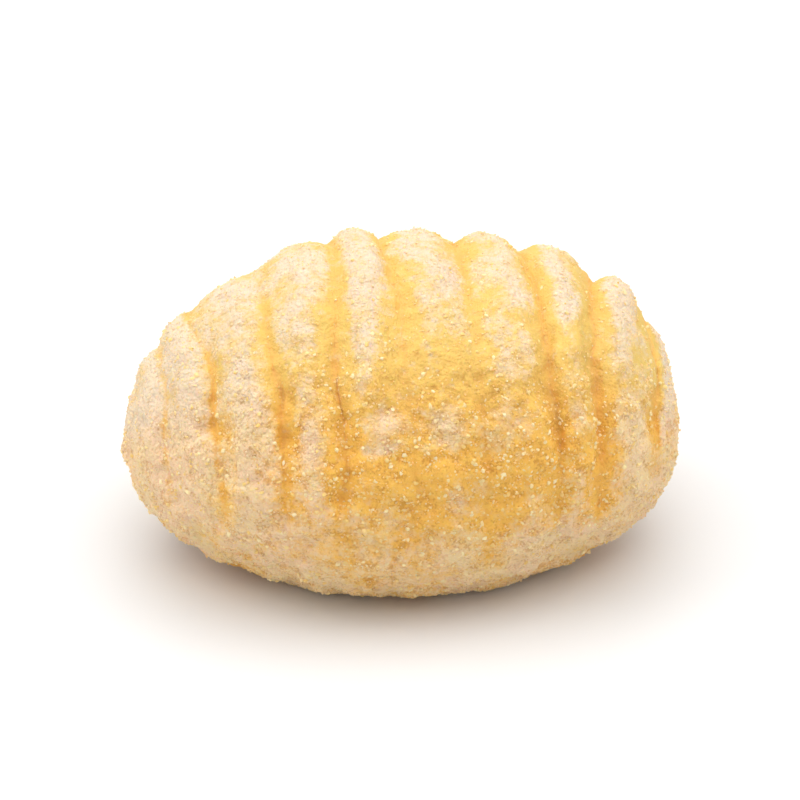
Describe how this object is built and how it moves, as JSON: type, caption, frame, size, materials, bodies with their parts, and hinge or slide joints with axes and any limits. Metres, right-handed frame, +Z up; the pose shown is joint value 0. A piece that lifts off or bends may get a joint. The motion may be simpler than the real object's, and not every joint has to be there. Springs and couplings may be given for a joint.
{
  "type": "ridged potato gnocco dumpling",
  "caption": "Oval potato gnocchi dumpling: soft yellow dough with rolled ridges over its back, a thumb slot beneath and a dusting of semolina, ready to boil.",
  "frame": {"origin": "middle of the base, on the surface that the dumpling rests on", "axes": "+X along the dumpling's length, +Y across it, +Z up through the ridged back; the thumb slot faces -Z"},
  "size_m": [0.03, 0.0202, 0.0178],
  "materials": {
    "dough": "matt soft potato dough, golden in the grooves and pale with semolina and flour on the ridges and at the ends"
  },
  "bodies": {
    "root": {"gnocco": "dough"}
  },
  "joints": []
}
